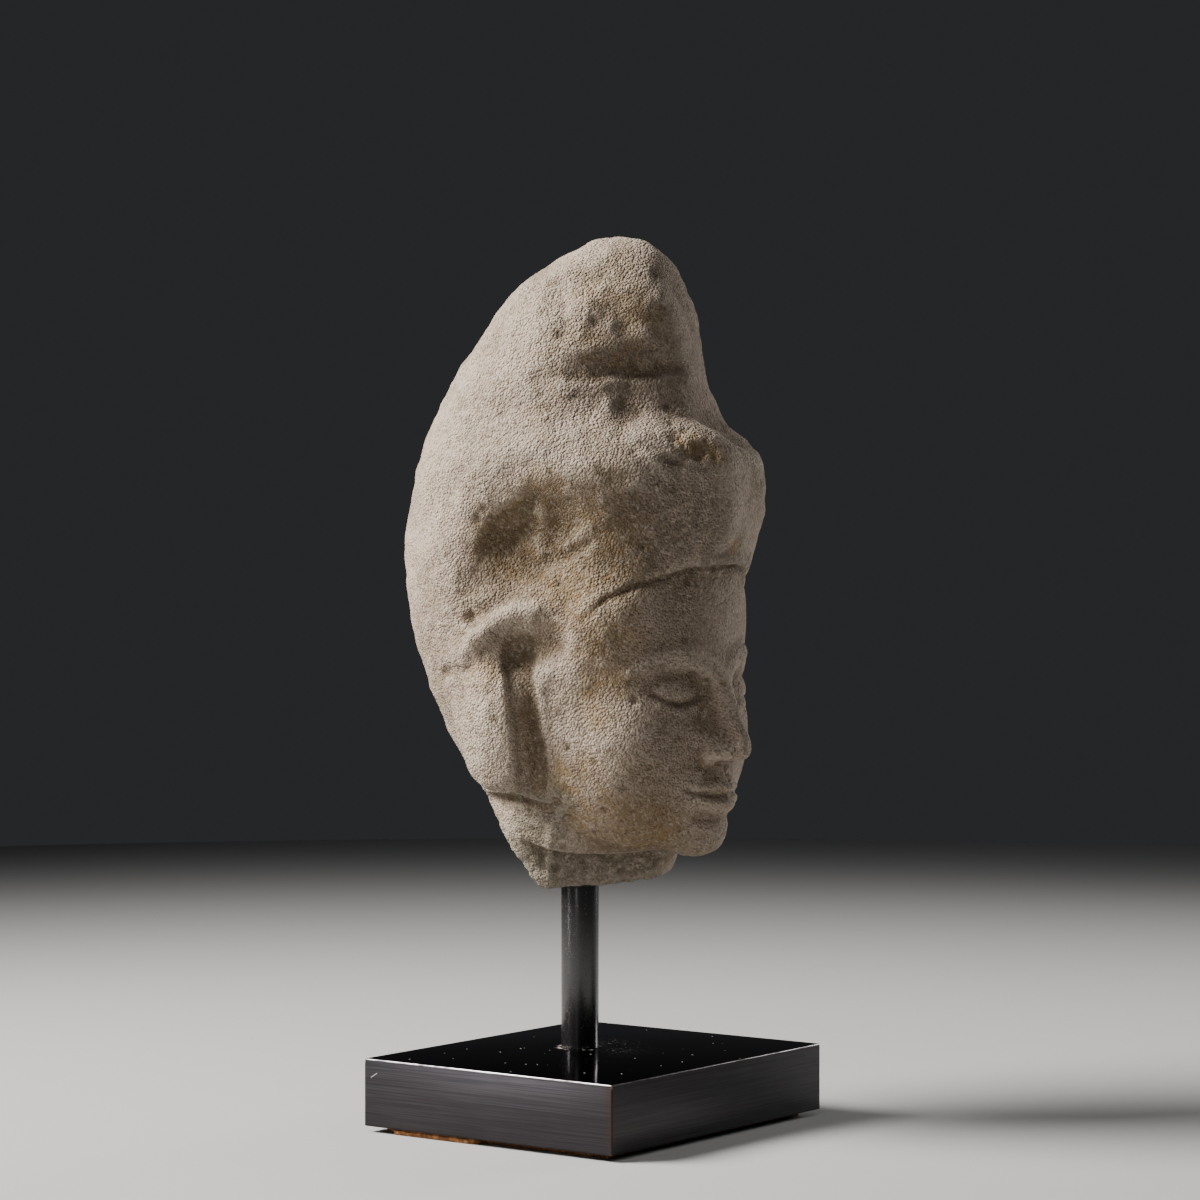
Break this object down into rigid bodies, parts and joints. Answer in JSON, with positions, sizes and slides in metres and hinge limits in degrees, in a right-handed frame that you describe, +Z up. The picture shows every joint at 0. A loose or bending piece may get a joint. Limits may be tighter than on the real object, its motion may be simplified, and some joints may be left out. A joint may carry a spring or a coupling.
{
  "type": "stone buddha head",
  "caption": "Weathered sandstone buddha head with a tall tiered topknot, long ears and a broken neck, pinned on a round black rod in a rectangular blackened metal block.",
  "frame": {"origin": "middle of the stand's underside, where the cork pad meets the table", "axes": "+Z up along the rod, the face looks along -Y, the head's right side is -X"},
  "size_m": [0.118, 0.127, 0.2927],
  "materials": {
    "sandstone": "granular, worn, with ochre and dark stains",
    "black_steel": "satin black",
    "blackened_metal": "blackened, brushed sides and a polished top",
    "cork": "plain cork sheet"
  },
  "bodies": {
    "root": {"stone_head": "sandstone", "rod": "black_steel", "base_block": "blackened_metal", "cork_pad": "cork"}
  },
  "joints": []
}
